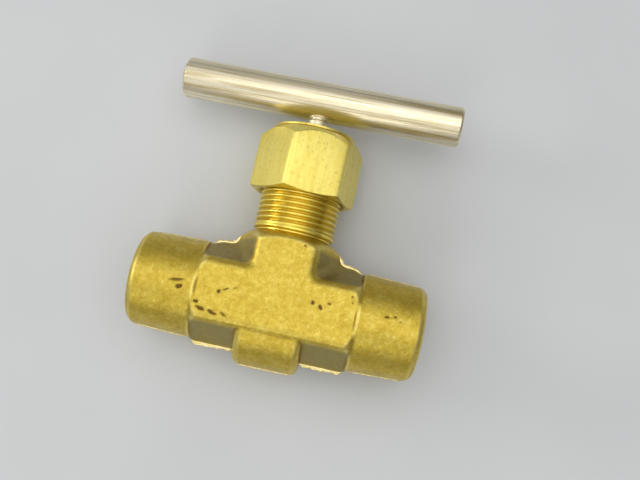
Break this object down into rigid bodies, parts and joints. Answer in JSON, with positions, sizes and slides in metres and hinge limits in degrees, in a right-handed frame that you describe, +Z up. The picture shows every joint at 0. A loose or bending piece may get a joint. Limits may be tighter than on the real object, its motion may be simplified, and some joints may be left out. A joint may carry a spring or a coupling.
{
  "type": "needle valve",
  "caption": "Forged brass globe-body needle valve with female taper-thread ports, a hexagon packing nut and a cross-bar handle.",
  "frame": {"origin": "middle of the valve's footprint as it lies on its side, on the surface under it", "axes": "+X along the run from the inlet port to the outlet port, +Y along the stem from the body to the handle, +Z up"},
  "size_m": [0.0682, 0.0702, 0.0245],
  "materials": {
    "body_brass": "satin forging, blasted and tumbled",
    "nut_brass": "drawn bar, machined",
    "packing": "moulded fluoropolymer",
    "stem_steel": "turned stainless steel",
    "handle_steel": "drawn bar with lengthwise lines",
    "screw_steel": "black oxide steel"
  },
  "bodies": {
    "valve": {"valve_body": "body_brass", "lower_packing_washer": "nut_brass", "packing_ring_lower": "packing", "packing_ring_middle": "packing", "packing_ring_upper": "packing", "packing_gland": "nut_brass", "packing_nut": "nut_brass"},
    "needle": {"needle_tip": "stem_steel"},
    "handle": {"stem": "stem_steel", "bar_handle": "handle_steel", "handle_set_screw": "screw_steel"}
  },
  "joints": [
    {"name": "stem_lift", "type": "slide", "parent": "valve", "child": "needle", "axis": [0, 1, 0], "range_m": [0, 0.00424]},
    {"name": "stem_turn", "type": "hinge", "parent": "needle", "child": "handle", "pos_m": [0, -0.02005, 0.01226], "axis": [0, 1, 0], "range_deg": [0, 1440]}
  ],
  "couplings": [
    {"joint": "stem_lift", "follows": "stem_turn", "m_per_rad": 0.00016844}
  ]
}
